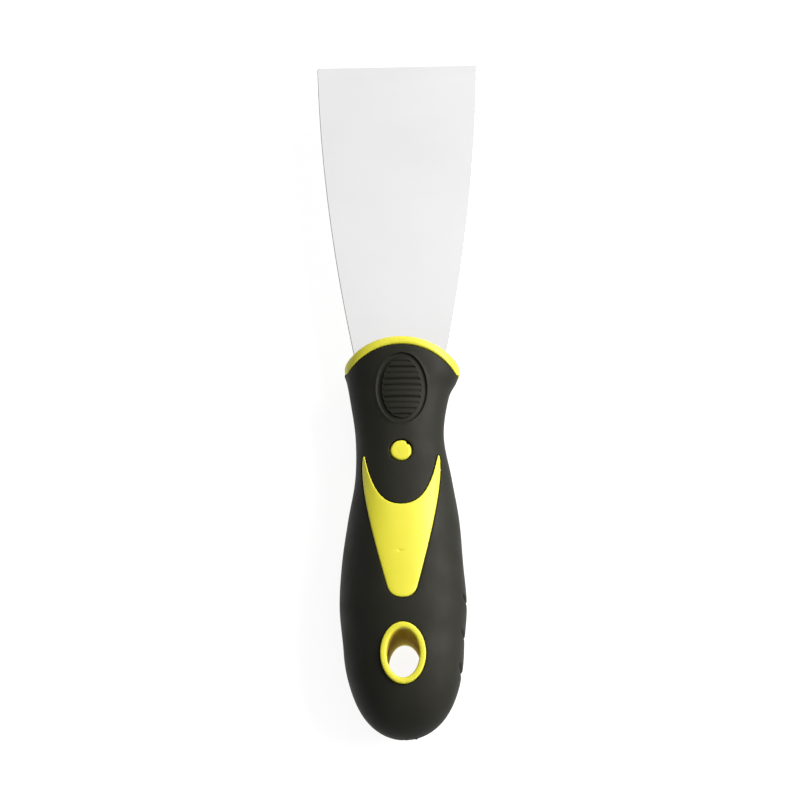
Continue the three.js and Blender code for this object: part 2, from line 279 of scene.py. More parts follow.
class Shape:
    """Vertices in millimetres and faces, gathered before they become a mesh."""

    def __init__(self):
        self.points = []
        self.faces = []

    def add(self, points):
        """Adds rows of x, y, z and returns their indices."""
        start = len(self.points)
        self.points.extend(tuple(float(c) for c in p) for p in points)
        return list(range(start, len(self.points)))

    def strip(self, first, second, closed=True):
        """Quads between two rows of the same length."""
        count = len(first)
        for index in range(count if closed else count - 1):
            after = (index + 1) % count
            self.faces.append((first[index], first[after], second[after], second[index]))

    def mirror(self):
        """Adds the other face of the knife: the same shape below the middle plane."""
        count = len(self.points)
        self.points += [(x, y, 2 * MID - z) for x, y, z in self.points]
        self.faces += [tuple(count + i for i in reversed(face)) for face in self.faces]

    def flipped(self):
        """The same shape for the other face of the knife, on its own."""
        other = Shape()
        other.points = [(x, y, 2 * MID - z) for x, y, z in self.points]
        other.faces = [tuple(reversed(face)) for face in self.faces]
        return other

    def joined(self, *others):
        """One shape from this one and others."""
        whole = Shape()
        for part in (self, *others):
            start = len(whole.points)
            whole.points += part.points
            whole.faces += [tuple(start + i for i in face) for face in part.faces]
        return whole

    def make(self, name, smooth=True):
        """The Blender object, with coincident points welded."""
        weld, speck = 2e-7, 1e-8
        mesh = bpy.data.meshes.new(name)
        mesh.from_pydata([Vector(p) * MM for p in self.points], [], self.faces)
        work = bmesh.new()
        work.from_mesh(mesh)
        bmesh.ops.remove_doubles(work, verts=work.verts, dist=weld)
        bmesh.ops.dissolve_degenerate(work, edges=work.edges, dist=speck)
        bmesh.ops.recalc_face_normals(work, faces=work.faces)
        work.to_mesh(mesh)
        work.free()
        if smooth:
            mesh.shade_smooth()
        else:
            mesh.shade_flat()
        piece = bpy.data.objects.new(name, mesh)
        bpy.context.scene.collection.objects.link(piece)
        return piece


def inside(points, loop):
    """Which points lie inside a loop."""
    result = np.zeros(len(points), bool)
    for start, end in zip(loop, np.roll(loop, -1, 0)):
        spans = (start[1] > points[:, 1]) != (end[1] > points[:, 1])
        if spans.any():
            cross = start[0] + (points[:, 1] - start[1]) * (end[0] - start[0]) / (end[1] - start[1])
            result ^= spans & (points[:, 0] < cross)
    return result


def triangulate(outer, holes=(), lines=(), loose=()):
    """Triangles over a region with holes. Returns all its points, in the order given, and the triangles."""
    closest = 1e-6
    coords, edges = [], []
    for loop in (outer, *holes):
        start, count = len(coords), len(loop)
        coords.extend(map(tuple, loop))
        edges += [(start + i, start + (i + 1) % count) for i in range(count)]
    for line in lines:
        start, count = len(coords), len(line)
        coords.extend(map(tuple, line))
        edges += [(start + i, start + i + 1) for i in range(count - 1)]
    coords.extend(map(tuple, loose))
    verts, _, faces, origins, _, _ = delaunay_2d_cdt([Vector(c) for c in coords], edges, [], 0, closest)
    back = [origin[0] if origin else None for origin in origins]
    places = np.array([tuple(v) for v in verts])
    centres = np.array([places[list(face)].mean(0) for face in faces])
    keep = inside(centres, np.asarray(outer))
    for hole in holes:
        keep &= ~inside(centres, np.asarray(hole))
    triangles = []
    for face, kept in zip(faces, keep):
        corners = tuple(back[i] for i in face)
        if kept and None not in corners:
            triangles.append(corners)
    return np.array(coords), triangles


def clear_of(points, loops, distance):
    """Only the points that keep a distance to every loop's corners."""
    for loop in loops:
        gaps = np.linalg.norm(points[:, None, :] - np.asarray(loop)[None, :, :], axis=2).min(1)
        points = points[gaps > distance]
    return points


def outside_of(points, loops):
    """Only the points that lie outside every loop."""
    for loop in loops:
        points = points[~inside(points, loop)]
    return points


def short_of_end(points, end_u, end_v, gap):
    """Only the surface points that stop a distance before a domed end."""
    return points[points[:, 1] < np.interp(points[:, 0], end_u[::-1], end_v[::-1]) - gap]


def skin_outline(end_u, end_v, side_step):
    """Outline of the front surface in u and v. Returns it, and where its domed end starts in it."""
    first_v, end_gap = 2.0, 1.0
    side_v = np.arange(first_v, min(end_v[0], end_v[-1]) - end_gap, side_step)
    left = np.stack([np.full(len(side_v), U_MAX), side_v], -1)
    right = np.stack([np.zeros(len(side_v)), side_v], -1)[::-1]
    outer = np.vstack([BUTT_POLE, left, np.stack([end_u, end_v], -1), right])
    return outer, len(BUTT_POLE) + len(left)


def add_skin(shape, coords, growths, triangles, end, holes_start, holes, inwards=False):
    """Adds a triangulated surface. Its domed end and its holes use the points the shape already has."""
    known = {}
    for start, loop in (end, *holes_after(holes_start, holes)):
        known.update({start + i: point for i, point in enumerate(loop)})
    points = shape.add(form_points(coords[:, 0], coords[:, 1], growths))
    for face in triangles:
        corners = tuple(known.get(i, points[i]) for i in face)
        shape.faces.append(corners[::-1] if inwards else corners)


def holes_after(start, holes):
    """The index at which each hole's loop starts, with the loop."""
    placed = []
    for _, loop in holes:
        placed.append((start, loop))
        start += len(loop)
    return placed


# ---- the grip ----
# The radius and the steps of the grip's rounded edges. The panel's edge has the same steps.
LIP = 0.3
LIP_TURNS = np.radians([0, 22.5, 45, 67.5, 90])


def surface_grid(spacing, growth, last_v):
    """Staggered points over the front surface, about evenly spaced on it."""
    first_row, row_step, fewest = 0.8, 0.87, 3
    rows = []
    v = spacing * first_row
    shift = 0.0
    while v < last_v:
        _, left, _, thickness, _ = half_sizes(v, growth)
        count = max(fewest, int(math.pi * (left + thickness) / 2 / spacing))
        u = (np.arange(count) + 0.5 + shift) / (count + 0.25) * U_MAX
        rows.append(np.stack([u, np.full(count, v)], -1))
        v += spacing * row_step
        shift = 0.25 - shift
    return np.vstack(rows)


def window_rows(shape, outline, bottom_growth):
    """A window's rounded lip and its wall. Returns the hole's loop on the outer and on the inner surface."""
    rows = []
    for turn in LIP_TURNS:
        plan = outline + outward(outline) * LIP * (1 - math.cos(turn))
        growth = -LIP * (1 - math.sin(turn))
        rows.append(shape.add(on_form(plan, growth)))
    for low, high in zip(rows[:-1], rows[1:]):
        shape.strip(low, high)
    top_uv = plan_to_uv(outline + outward(outline) * LIP, 0.0)
    bottom = shape.add(on_form(outline, bottom_growth))
    shape.strip(rows[0], bottom)
    return (top_uv, rows[-1]), (plan_to_uv(outline, bottom_growth), bottom)


def rib_rows():
    """Rows across the thumb pad that shape its grooves: distance along it, and how deep each lies."""
    steps = np.array([-0.5, -0.34, -0.18, 0, 0.18, 0.34, 0.5])
    usual, uneven, phase_step, phase = 0.85, 0.35, 2.4, 0.8
    rows = []
    for rib in range(RIB_COUNT):
        centre = (rib - (RIB_COUNT - 1) / 2) * RIB_PITCH
        depth = RIB_DEPTH * (usual + uneven * math.sin(phase_step * rib + phase))
        for step in steps:
            rows.append((centre + step * RIB_WIDTH, depth * (0.5 + 0.5 * math.cos(2 * math.pi * step))))
    return rows


def pad_rows(shape):
    """The thumb pad: an oval moat round a field of ribs. Returns its outer loop on the surface."""
    field_inset, plateau, end_gap, columns = 1.9, -0.03, 0.1, 22
    field = (PAD_AXES[0] - field_inset, PAD_AXES[1] - field_inset)
    ribs = [(y, depth) for y, depth in rib_rows() if abs(y) < field[1] - end_gap]
    turns = np.array([math.asin(y / field[1]) for y, _ in ribs])
    depths = np.array([depth for _, depth in ribs])
    around = np.concatenate([turns, [math.pi / 2], math.pi - turns[::-1], [-math.pi / 2]])
    # (distance in from the pad's edge, growth)
    profile = [
        (-0.4, 0.0),
        (-0.25, 0.06),
        (-0.1, 0.1),
        (0.0, 0.05),
        (0.08, -0.12),
        (0.15, -0.38),
        (0.26, -0.5),
        (0.5, -0.53),
        (1.2, -0.53),
        (1.42, -0.48),
        (1.55, -0.36),
        (1.66, -0.14),
        (1.76, -0.05),
        (field_inset, plateau),
    ]
    loops = []
    for depth_in, growth in profile:
        axes = (PAD_AXES[0] - depth_in, PAD_AXES[1] - depth_in)
        plan = np.stack([PAD_X + axes[0] * np.cos(around), PAD_STATION + axes[1] * np.sin(around)], -1)
        growths = np.full(len(around), growth)
        if depth_in == field_inset:
            growths -= np.concatenate([depths, [0], depths[::-1], [0]])
        loops.append(shape.add(on_form_each(plan, growths)))
        if not loops[1:]:
            outer_uv = plan_to_uv(plan, 0.0)
    for first, second in zip(loops[:-1], loops[1:]):
        shape.strip(first, second)
    edge = loops[-1]
    count = len(ribs)
    previous = None
    for row, (y, depth) in enumerate(ribs):
        reach = field[0] * math.cos(turns[row])
        share = np.sin(np.linspace(-1, 1, columns + 1)[1:-1] * math.pi / 2)
        plan = np.stack([PAD_X + reach * share, np.full(columns - 1, PAD_STATION + y)], -1)
        inner = shape.add(on_form(plan, plateau - depth))
        line = [edge[2 * count - row], *inner, edge[row]]
        if previous:
            shape.strip(previous, line, closed=False)
        else:
            bottom = edge[-1]
            shape.faces += [(bottom, line[i + 1], line[i]) for i in range(columns)]
        previous = line
    top = edge[count]
    shape.faces += [(top, previous[i], previous[i + 1]) for i in range(columns)]
    return outer_uv, loops[0]


def on_form_each(plan, growths):
    """As on_form, with a growth of its own for each point. Their plan places are those at growth 0."""
    uv = plan_to_uv(plan, 0.0)
    return form_points(uv[:, 0], uv[:, 1], growths)


def butt_v(station):
    """v at a station on the butt or beyond it."""
    if station >= BUTT_LENGTH:
        return station
    return math.acos(1 - station / BUTT_LENGTH) * BUTT_LENGTH / (math.pi / 2)


def notch_lines():
    """Rows across the side notches and a nib of flash on the butt, as surface points with their growths."""
    reach, lean, depth, count = 5.6, 0.36, 0.8, 9
    fade_length, fade_power = 2.2, 0.7
    # (offset along the seam, share of the depth)
    steps = [(-0.85, 0.0), (-0.55, 0.25), (-0.3, 0.8), (0.0, 1.0), (0.3, 0.8), (0.55, 0.25), (0.85, 0.0)]
    lines = []
    for station in NOTCH_STATIONS:
        for offset, share in steps:
            along = np.linspace(0, reach, count)
            fade = np.clip((reach - along) / fade_length, 0, 1) ** fade_power
            uv = np.stack([along, butt_v(station) + offset + along * lean], -1)
            lines.append((uv, -depth * share * fade))
    nib_v, nib_height = 2.9, 0.3
    nib_along, nib_fade = np.array([0.0, 0.3, 0.7]), np.array([1.0, 0.4, 0.0])
    for offset, share in ((-0.45, 0.1), (-0.2, 0.9), (0.0, 1.0), (0.2, 0.8), (0.45, 0.1)):
        uv = np.stack([nib_along, np.full(3, nib_v + offset)], -1)
        lines.append((uv, nib_height * share * nib_fade))
    return lines


def ear_growth(u, v, end_v):
    """The pinched flash at the left end of the grip's collar edge."""
    height, along, across = 0.5, 1.3, 0.9
    return height * np.exp(-(((U_MAX - u) / across) ** 2) - ((end_v - v) / along) ** 2)


def grip_shape():
    """The soft grip: a skin with three windows, a thumb pad and side notches, and its inner surface."""
    shape = Shape()
    inner_growth = -GRIP_WALL + WALL_GAP
    ring_count, dot_count, dot_gap, columns = 96, 64, 0.4, 72
    dot_axes = (DOT_RADIUS, DOT_RADIUS)
    windows = [
        window_rows(shape, grown(panel_outline(), WALL_GAP), inner_growth),
        window_rows(shape, ellipse(RING_STATION, RING_OUTER, ring_count, WALL_GAP), inner_growth),
        window_rows(shape, ellipse(DOT_STATION, dot_axes, dot_count, dot_gap), inner_growth),
    ]
    pad_uv, pad_loop = pad_rows(shape)
    end_u = np.linspace(U_MAX, 0, columns)
    ear = ear_growth(end_u, 0.0, 0.0)
    lip_rows = []
    for turn in LIP_TURNS:
        growth = -LIP * (1 - math.sin(turn))
        end_v = end_row(end_u, growth, GRIP_END, GRIP_END_RADIUS, LIP * (1 - math.cos(turn)), EAR_RISE)
        lip_rows.append(shape.add(form_points(end_u, end_v, growth + ear)))
    for low, high in zip(lip_rows[:-1], lip_rows[1:]):
        shape.strip(low, high, closed=False)
    outer_skin(shape, windows, (pad_uv, pad_loop), end_u, end_v, lip_rows[-1], notch_lines())
    inner_v = end_row(end_u, inner_growth, GRIP_END, GRIP_END_RADIUS, 0.0, EAR_RISE)
    inner_end = shape.add(form_points(end_u, inner_v, inner_growth))
    shape.strip(lip_rows[0], inner_end, closed=False)
    inner_skin(shape, windows, end_u, inner_v, inner_end, inner_growth)
    shape.mirror()
    return shape


def outer_skin(shape, windows, pad, end_u, end_v, end_loop, notches):
    """The grip's outer surface, between its windows, the pad and the domed end."""
    seam_height, spacing = 0.05, 1.0
    seam_gap, end_gap, loop_gap, notch_gap = 0.6, 0.5, 0.55, 0.4
    ridge_in, ridge_start, ridge_end_gap, ridge_step, ridge_notch_gap = 0.22, 1.5, 1, 0.9, 1.2
    left_v = np.arange(spacing, end_v[0] - seam_gap, spacing)
    right_v = np.arange(spacing, end_v[-1] - seam_gap, spacing)
    for uv, _ in notches:
        right_v = right_v[np.abs(right_v - uv[0, 1]) > notch_gap]
    notch_v = np.array([uv[0, 1] for uv, _ in notches])
    notch_depth = np.array([growth[0] for _, growth in notches])
    order = np.argsort(np.concatenate([right_v, notch_v]))
    side_v = np.concatenate([right_v, notch_v])[order]
    side_growth = np.concatenate([np.full(len(right_v), seam_height), notch_depth])[order]
    left = np.stack([np.full(len(left_v), U_MAX), left_v], -1)
    right = np.stack([np.zeros(len(side_v)), side_v], -1)[::-1]
    outer = np.vstack([BUTT_POLE, left, np.stack([end_u, end_v], -1), right])
    holes = [window[0] for window in windows] + [pad]
    hole_loops = [uv for uv, _ in holes]
    notch_rows = [uv[1:] for uv, _ in notches]
    loose = short_of_end(surface_grid(spacing, 0.0, GRIP_END), end_u, end_v, end_gap)
    loose = loose[(loose[:, 0] > seam_gap) & (loose[:, 0] < U_MAX - seam_gap)]
    loose = outside_of(clear_of(loose, hole_loops + notch_rows, loop_gap), hole_loops)
    ridge_v = np.arange(ridge_start, end_v[0] - ridge_end_gap, ridge_step)
    ridge_v = ridge_v[[np.abs(notch_v - v).min() > ridge_notch_gap for v in ridge_v]]
    ridges = [np.stack([np.full(len(ridge_v), u), ridge_v], -1) for u in (ridge_in, U_MAX - ridge_in)]
    loose = np.vstack([loose, *ridges])
    coords, triangles = triangulate(outer, hole_loops, notch_rows, loose)
    growths = [
        np.zeros(len(BUTT_POLE)),
        np.full(len(left_v), seam_height),
        np.zeros(len(end_u)),
        side_growth[::-1],
        *(np.zeros(len(loop)) for _, loop in holes),
        *(growth[1:] for _, growth in notches),
        np.zeros(len(loose)),
    ]
    ear = ear_growth(coords[:, 0], coords[:, 1], end_v[0])
    end = (len(BUTT_POLE) + len(left), end_loop)
    add_skin(shape, coords, np.concatenate(growths) + ear, triangles, end, len(outer), holes)


def inner_skin(shape, windows, end_u, end_v, end_loop, growth):
    """The grip's inner surface, against the core."""
    side_step, spacing, end_gap, loop_gap = 2.5, 2.6, 1.2, 1.0
    outer, end_start = skin_outline(end_u, end_v, side_step)
    holes = [window[1] for window in windows]
    hole_loops = [uv for uv, _ in holes]
    loose = short_of_end(surface_grid(spacing, growth, GRIP_END), end_u, end_v, end_gap)
    loose = outside_of(clear_of(loose, hole_loops, loop_gap), hole_loops)
    coords, triangles = triangulate(outer, hole_loops, (), loose)
    add_skin(shape, coords, growth, triangles, (end_start, end_loop), len(outer), holes, inwards=True)


# ---- the core ----


def panel_shape():
    """The raised swallow-tail panel with a rounded edge, down into the core."""
    shape = Shape()
    outline = panel_outline()
    room = room_inside(outline)
    radius, foot = 0.38, 4.4
    spacing, last_v, edge_gap, gate_gap, gate_count = 1.0, 90.0, 0.55, 0.6, 12
    rows = []
    for turn in LIP_TURNS:
        plan = inset(outline, radius * (1 - math.cos(turn)), room)
        growth = PANEL_RISE - radius * (1 - math.sin(turn))
        rows.append(shape.add(on_form(plan, growth)))
    for low, high in zip(rows[:-1], rows[1:]):
        shape.strip(low, high)
    low_z = MID + form_height(outline) - foot
    bottom = shape.add(np.stack([outline[:, 0], BUTT_Y + outline[:, 1], low_z], -1))
    shape.strip(bottom, rows[0])
    _, triangles = triangulate(outline)
    shape.faces += [tuple(bottom[i] for i in reversed(face)) for face in triangles]
    uv = plan_to_uv(plan, PANEL_RISE)
    loose = surface_grid(spacing, PANEL_RISE, last_v)
    loose = clear_of(loose[inside(loose, uv)], [uv], edge_gap)
    rings = [ellipse(GATE[1], (reach, reach), gate_count) + (GATE[0], 0) for reach in GATE_RADII]
    gate = plan_to_uv(np.vstack(rings), PANEL_RISE)
    loose = np.vstack([clear_of(loose, [gate], gate_gap), gate])
    coords, triangles = triangulate(uv, (), (), loose)
    away = np.linalg.norm(coords - gate[:gate_count].mean(0), axis=1)
    pitted = PANEL_RISE - GATE_DEPTH * np.exp(-((away / GATE_RADII[2]) ** 4))
    add_skin(shape, coords, pitted, triangles, (0, rows[-1]), 0, ())
    return shape


def ring_shape():
    """Half of the hang hole's tube, from the middle plane to its flat, softly rounded rim."""
    shape = Shape()
    count = 112
    half_band = (RING_OUTER[0] - RING_INNER[0]) / 2
    middle = (RING_OUTER[0] - half_band, RING_OUTER[1] - half_band)
    top = form_height(ellipse(RING_STATION, middle, count)) + RING_RISE
    draft, seam, wall_shares = 0.03, 0.005, (0.75, 0.5, 0.25, 0.004)
    edge = half_band
    # (offset across the rim, height against its top, where a negative one is below)
    rim = [
        (edge, -1.0),
        (edge - 0.01, -0.34),
        (edge - 0.05, -0.18),
        (edge - 0.14, -0.07),
        (edge - 0.28, -0.01),
        (edge - 0.5, 0.02),
        (0.0, 0.03),
        (0.5 - edge, 0.0),
        (0.3 - edge, -0.06),
        (0.14 - edge, -0.17),
        (0.04 - edge, -0.34),
        (-edge, -0.6),
    ]
    rows = []

    def row(grow, height):
        plan = ellipse(RING_STATION, middle, count, grow)
        points = np.stack([plan[:, 0], BUTT_Y + plan[:, 1], MID + height], -1)
        rows.append(shape.add(points))

    row(edge, np.full(count, seam))
    for offset, drop in rim:
        row(offset, top + drop)
    for share in wall_shares:
        row(-edge - draft * (1 - share), top * share)
    row(-edge - draft, np.full(count, seam))
    for first, second in zip(rows, rows[1:] + rows[:1]):
        shape.strip(first, second)
    return shape


def collar_shape():
    """Front half of the collar: a domed flange round the blade, with a rounded rim."""
    shape = Shape()
    columns, rim, rim_count, grip_gap = 120, 0.95, 9, 0.1
    slot_half, slot_height, slot_back = BLADE_ROOT / 2 + 0.25, 0.56, 1.0
    # (growth, distance from the grip's edge)
    side = [(-3.4, 0.0), (-0.45, 0.0), (-0.15, 0.06), (0.08, 0.22), (0.22, 0.5), (COLLAR_OVERHANG, 0.85)]
    u = np.linspace(0, U_MAX, columns)
    rows = []
    for growth, away in side:
        v = end_row(u, growth, GRIP_END + grip_gap, GRIP_END_RADIUS + grip_gap, -away, EAR_RISE)
        rows.append(form_points(u, v, growth))
    for turn in np.linspace(0, math.pi / 2, rim_count):
        growth = COLLAR_OVERHANG - rim * (1 - math.cos(turn))
        v = end_row(u, growth, COLLAR_END, COLLAR_END_RADIUS, rim * (1 - math.sin(turn)))
        rows.append(form_points(u, v, growth))
    deep, rim_row = rows[0], rows[-1]
    height = MID + np.where(np.abs(rim_row[:, 0]) < slot_half, slot_height, SEAM_GAP)
    rows.append(np.stack([rim_row[:, 0], rim_row[:, 1], height], -1))
    rows.append(np.stack([deep[:, 0], deep[:, 1] - slot_back, height], -1))
    for points in rows:
        points[:, 2] = np.maximum(points[:, 2], MID + SEAM_GAP)
    loops = [shape.add(points) for points in rows]
    for first, second in zip(loops, loops[1:] + loops[:1]):
        shape.strip(first, second, closed=False)
    shape.faces.append(tuple(loop[0] for loop in loops))
    shape.faces.append(tuple(loop[-1] for loop in reversed(loops)))
    return shape


def hub_shape():
    """The hidden body of the core's front half, open round the hang hole."""
    shape = Shape()
    growth, columns, hole_count, hole_gap = -GRIP_WALL, 60, 48, 0.9
    side_step, spacing, end_gap, loop_gap = 3.0, 3.0, 1.5, 1.2
    end_u = np.linspace(U_MAX, 0, columns)
    end_v = end_row(end_u, growth, GRIP_END, GRIP_END_RADIUS)
    outer, _ = skin_outline(end_u, end_v, side_step)
    hole = plan_to_uv(ellipse(RING_STATION, RING_INNER, hole_count, hole_gap), growth)
    loose = short_of_end(surface_grid(spacing, growth, GRIP_END), end_u, end_v, end_gap)
    loose = outside_of(clear_of(loose, [hole], loop_gap), [hole])
    coords, triangles = triangulate(outer, [hole], (), loose)
    top = form_points(coords[:, 0], coords[:, 1], growth)
    top[:, 2] = np.maximum(top[:, 2], MID + SEAM_GAP)
    floor = top.copy()
    floor[:, 2] = MID + SEAM_GAP
    upper = shape.add(top)
    lower = shape.add(floor)
    shape.faces += [tuple(upper[i] for i in face) for face in triangles]
    shape.faces += [tuple(lower[i] for i in reversed(face)) for face in triangles]
    edges = [(i, (i + 1) % len(outer)) for i in range(len(outer))]
    start, count = len(outer), len(hole)
    edges += [(start + (i + 1) % count, start + i) for i in range(count)]
    shape.faces += [(upper[a], upper[b], lower[b], lower[a]) for a, b in edges]
    return shape


def plug_shape():
    """The disc at the waist: a pin with a softened rim, a nick in it and a gate mark."""
    shape = Shape()
    count, top, crown = 72, 10.45, 0.07
    nick_depth, nick_turn, nick_width, fade_length = 0.55, math.radians(48), 0.16, 1.2
    dent_depth, dent_x, dent_y, dent_spread, face_from = 0.12, -0.9, -0.5, 0.16, -0.1
    turn = np.linspace(0, 2 * math.pi, count, endpoint=False)
    nick = nick_depth * np.exp(-(((turn - nick_turn) / nick_width) ** 2))
    uneven = 0.05 * np.sin(3 * turn + 0.6) + 0.035 * np.sin(5 * turn)
    # (distance in from the side, height against the rim, where a negative one is below)
    profile = [(0.0, -4.2), (0.0, -0.75), (0.06, -0.42), (0.2, -0.18), (0.42, -0.04), (0.7, 0.0)]
    profile += [(1.2, 0.03), (1.8, 0.05), (2.4, 0.06)]
    rows = []
    for depth_in, height in profile:
        fade = max(0.0, 1 - depth_in / fade_length)
        radius = DOT_RADIUS - depth_in - (nick + uneven) * fade
        x, y = radius * np.cos(turn), radius * np.sin(turn)
        z = np.full(count, MID + top + height)
        if height > face_from:
            z -= dent_depth * np.exp(-((x - dent_x) ** 2 + (y - dent_y) ** 2) / dent_spread)
        rows.append(shape.add(np.stack([x, BUTT_Y + DOT_STATION + y, z], -1)))
    for first, second in zip(rows[:-1], rows[1:]):
        shape.strip(first, second)
    centre = shape.add([(0, BUTT_Y + DOT_STATION, MID + top + crown)])[0]
    shape.faces += [(rows[-1][i], rows[-1][(i + 1) % count], centre) for i in range(count)]
    shape.faces.append(tuple(reversed(rows[0])))
    return shape


# ---- the blade ----
# Widths at the working edge and at the root, and the distance between them. The grind thins the last few
# millimetres. The tang is hidden in the handle, and the shoulder is where the blade's full width starts.
BLADE_EDGE = 50.0
BLADE_ROOT = 28.4
BLADE_FLARE = 94.0
BLADE_HALF = (blade_high[2] - blade_low[2]) / 2 / MM
GRIND, GRIND_HALF = 3.0, 0.18
TANG_HALF, TANG_END, SHOULDER = 7.5, 64.0, 110.0
TANG_TAPER, TANG_BEND, SHOULDER_SLOPE = 1, 67, 5


def blade_outline(inward):
    """The blade's plan with its tang, drawn a little inside itself for the softened edge."""
    bend_in, root_in, corner = 1.35, 1.5, 0.8
    toe_start, toe_bend = 4, 3
    edge = EDGE_STATION - inward
    half = BLADE_EDGE / 2 - inward
    bend = (BLADE_EDGE / 2 - bend_in - inward, EDGE_STATION - BLADE_FLARE / 2)
    root = (BLADE_ROOT / 2 - inward, EDGE_STATION - BLADE_FLARE)
    tang, foot = TANG_HALF - inward, TANG_END + inward
    flank = (tang - TANG_TAPER, TANG_BEND)
    side = np.vstack(
        [
            [(0, foot)],
            [(tang - toe_start, foot)],
            bezier((tang - toe_bend, foot), (tang - TANG_TAPER, foot), flank, count=6),
            [flank],
            [(tang, SHOULDER - SHOULDER_SLOPE)],
            [(root[0] - root_in, SHOULDER + inward)],
            bezier(root, bend, (half, edge - corner), count=48),
            bezier((half, edge - corner), (half, edge), (half - corner, edge), count=7),
            [(half - corner, edge)],
            [(0, edge)],
        ]
    )
    left = side[1:-1][::-1] * (-1, 1)
    return np.vstack([side, left])


def blade_shape():
    """The blade and its tang, with softened edges and a grind along the working edge."""
    shape = Shape()
    soft, drop, grind_reach, grind_count = 0.18, 0.1, 24.6, 60

    def height(plan, half):
        into = np.clip((plan[:, 1] - (EDGE_STATION - GRIND)) / GRIND, 0, 1)
        return half + (GRIND_HALF - BLADE_HALF) * into

    def row(inward, half):
        plan = blade_outline(inward)
        z = MID + height(plan, half)
        return plan, shape.add(np.stack([plan[:, 0], BUTT_Y + plan[:, 1], z], -1))

    _, edge_row = row(0.0, BLADE_HALF - drop)
    top_plan, top_row = row(soft, BLADE_HALF)
    shape.strip(edge_row, top_row)
    grind_x = np.linspace(-grind_reach, grind_reach, grind_count)
    grind_line = np.stack([grind_x, np.full(grind_count, EDGE_STATION - GRIND)], -1)
    coords, triangles = triangulate(top_plan, (), [grind_line], ())
    z = MID + height(coords, BLADE_HALF)
    points = top_row + shape.add(np.stack([coords[:, 0], BUTT_Y + coords[:, 1], z], -1))[len(top_row) :]
    shape.faces += [tuple(points[i] for i in face) for face in triangles]
    whole = shape.joined(shape.flipped())
    whole.strip([len(shape.points) + i for i in edge_row], edge_row)
    return whole


# ---- materials ----


def new_material(name, colour, roughness, metallic=0.0):
    """A plain material, to which textures are then linked. Returns it with its node tree and its shader."""
    material = bpy.data.materials.new(name)
    material.use_nodes = True
    tree = material.node_tree
    shader = tree.nodes["Principled BSDF"]
    shader.inputs["Base Color"].default_value = (*colour, 1)
    shader.inputs["Roughness"].default_value = roughness
    shader.inputs["Metallic"].default_value = metallic
    return material, tree, shader


def noise(tree, scale, detail=3.0, stretch=(1, 1, 1)):
    """Noise in the object's own metres. Returns its value socket."""
    place = tree.nodes.new("ShaderNodeTexCoord")
    mapping = tree.nodes.new("ShaderNodeMapping")
    mapping.inputs["Scale"].default_value = stretch
    texture = tree.nodes.new("ShaderNodeTexNoise")
    texture.inputs["Scale"].default_value = scale
    texture.inputs["Detail"].default_value = detail
    tree.links.new(place.outputs["Object"], mapping.inputs["Vector"])
    tree.links.new(mapping.outputs["Vector"], texture.inputs["Vector"])
    return texture.outputs["Fac"]


def ramp(tree, value, low, high, low_out, high_out):
    """The value from low to high, as a number or a colour from low_out to high_out."""
    if isinstance(low_out, tuple):
        node = tree.nodes.new("ShaderNodeValToRGB")
        node.color_ramp.elements[0].position = low
        node.color_ramp.elements[1].position = high
        node.color_ramp.elements[0].color = (*low_out, 1)
        node.color_ramp.elements[1].color = (*high_out, 1)
        tree.links.new(value, node.inputs["Fac"])
        return node.outputs["Color"]
    node = tree.nodes.new("ShaderNodeMapRange")
    node.inputs["From Min"].default_value = low
    node.inputs["From Max"].default_value = high
    node.inputs["To Min"].default_value = low_out
    node.inputs["To Max"].default_value = high_out
    tree.links.new(value, node.inputs["Value"])
    return node.outputs["Result"]


def bump(tree, shader, layers):
    """Stacks bump layers, each a height value with its strength and distance in metres."""
    normal = None
    for value, strength, distance in layers:
        node = tree.nodes.new("ShaderNodeBump")
        node.inputs["Strength"].default_value = strength
        node.inputs["Distance"].default_value = distance
        tree.links.new(value, node.inputs["Height"])
        if normal:
            tree.links.new(normal, node.inputs["Normal"])
        normal = node.outputs["Normal"]
    tree.links.new(normal, shader.inputs["Normal"])


def rubber_material():
    """Black rubber, finely pebbled, with faint clouds and smudges."""
    material, tree, shader = new_material("grip_rubber", (0.013, 0.0132, 0.0098), 0.5)
    shader.inputs["Specular IOR Level"].default_value = 0.2
    cloud = noise(tree, 70, 4)
    dark, pale = (0.0078, 0.0082, 0.005), (0.0112, 0.0116, 0.0078)
    tree.links.new(ramp(tree, cloud, 0.3, 0.72, dark, pale), shader.inputs["Base Color"])
    smudge = noise(tree, 130, 5)
    tree.links.new(ramp(tree, smudge, 0.35, 0.65, 0.58, 0.67), shader.inputs["Roughness"])
    bump(tree, shader, [(noise(tree, 5200, 2), 0.35, 0.00006), (noise(tree, 420, 3), 0.12, 0.0003)])
    return material


def math_node(tree, operation, first, second):
    """One calculation on two values, each a number or a socket. Returns its result's socket."""
    node = tree.nodes.new("ShaderNodeMath")
    node.operation = operation
    for socket, value in zip(node.inputs, (first, second)):
        if isinstance(value, (int, float)):
            socket.default_value = value
        else:
            tree.links.new(value, socket)
    return node.outputs["Value"]


